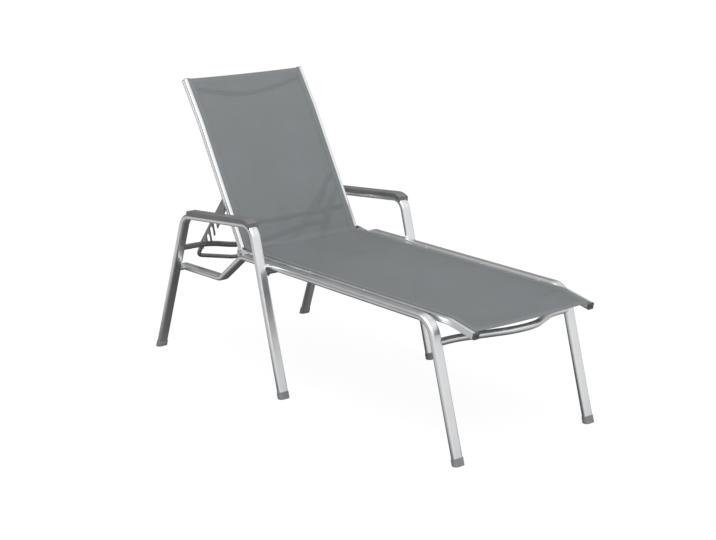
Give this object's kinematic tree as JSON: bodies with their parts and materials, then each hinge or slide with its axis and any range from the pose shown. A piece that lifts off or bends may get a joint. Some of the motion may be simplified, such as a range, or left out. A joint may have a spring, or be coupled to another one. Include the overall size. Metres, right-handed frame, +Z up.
{
  "type": "stacking sun lounger",
  "caption": "Aluminium stacking sun lounger with armrests, textile sling and a toothed-rack reclining back.",
  "frame": {"origin": "bottom centre of the overall box, on the floor, with the back in its most upright notch", "axes": "+X towards the foot end, +Y to the sitter's left, +Z up"},
  "size_m": [1.5654, 0.708, 0.9831],
  "materials": {
    "satin_aluminium": "satin silver",
    "armrest_plastic": "dark grey, fine grain",
    "foot_plastic": "dark grey",
    "plug_plastic": "dark grey",
    "graphite_steel": "graphite powder coat",
    "fastener_steel": "zinc plated",
    "sling_textile": "open grey mesh"
  },
  "bodies": {
    "frame": {"arm_frame_left": "satin_aluminium", "arm_frame_right": "satin_aluminium", "armrest_pad_left": "armrest_plastic", "armrest_pad_right": "armrest_plastic", "seat_frame_left": "satin_aluminium", "seat_frame_right": "satin_aluminium", "rear_foot_cap_left": "foot_plastic", "rear_foot_cap_right": "foot_plastic", "middle_foot_cap_left": "foot_plastic", "middle_foot_cap_right": "foot_plastic", "end_foot_cap_left": "foot_plastic", "end_foot_cap_right": "foot_plastic", "seat_rail_left": "satin_aluminium", "seat_rail_right": "satin_aluminium", "seat_rail_plug_left": "plug_plastic", "seat_rail_plug_right": "plug_plastic", "hinge_plate_left": "satin_aluminium", "hinge_plate_right": "satin_aluminium", "brace_plugs": "foot_plastic", "foot_cross_tube": "satin_aluminium", "mid_cross_tube": "graphite_steel", "rear_cross_rod": "graphite_steel", "seat_spreader": "satin_aluminium", "hinge_pins": "fastener_steel", "hinge_plate_rivets": "fastener_steel", "cross_tube_saddles": "foot_plastic", "saddle_bolts": "fastener_steel", "frame_bolts": "fastener_steel", "frame_nuts": "fastener_steel", "frame_spacers": "satin_aluminium", "rail_tabs": "graphite_steel", "rail_screws": "fastener_steel", "armrest_screws": "fastener_steel", "seat_sling": "sling_textile"},
    "backrest": {"back_rail_left": "satin_aluminium", "back_rail_right": "satin_aluminium", "back_rail_plug_left": "plug_plastic", "back_rail_plug_right": "plug_plastic", "hinge_knuckle_left": "plug_plastic", "hinge_knuckle_right": "plug_plastic", "back_top_spreader": "satin_aluminium", "back_lower_spreader": "satin_aluminium", "rack_pins": "graphite_steel", "back_sling": "sling_textile"},
    "rack": {"rack_left": "graphite_steel", "rack_right": "graphite_steel", "rack_bail": "graphite_steel"}
  },
  "joints": [
    {"name": "backrest_recline", "type": "hinge", "parent": "frame", "child": "backrest", "pos_m": [-0.36698, 0, 0.421], "axis": [0, 1, 0], "range_deg": [-60, 0]},
    {"name": "rack_swing", "type": "hinge", "parent": "backrest", "child": "rack", "pos_m": [-0.47898, 0, 0.61499], "axis": [0, 1, 0], "range_deg": [0, 107.8]}
  ],
  "couplings": [
    {"joint": "rack_swing", "follows": "backrest_recline", "ratio": -1.7967}
  ]
}
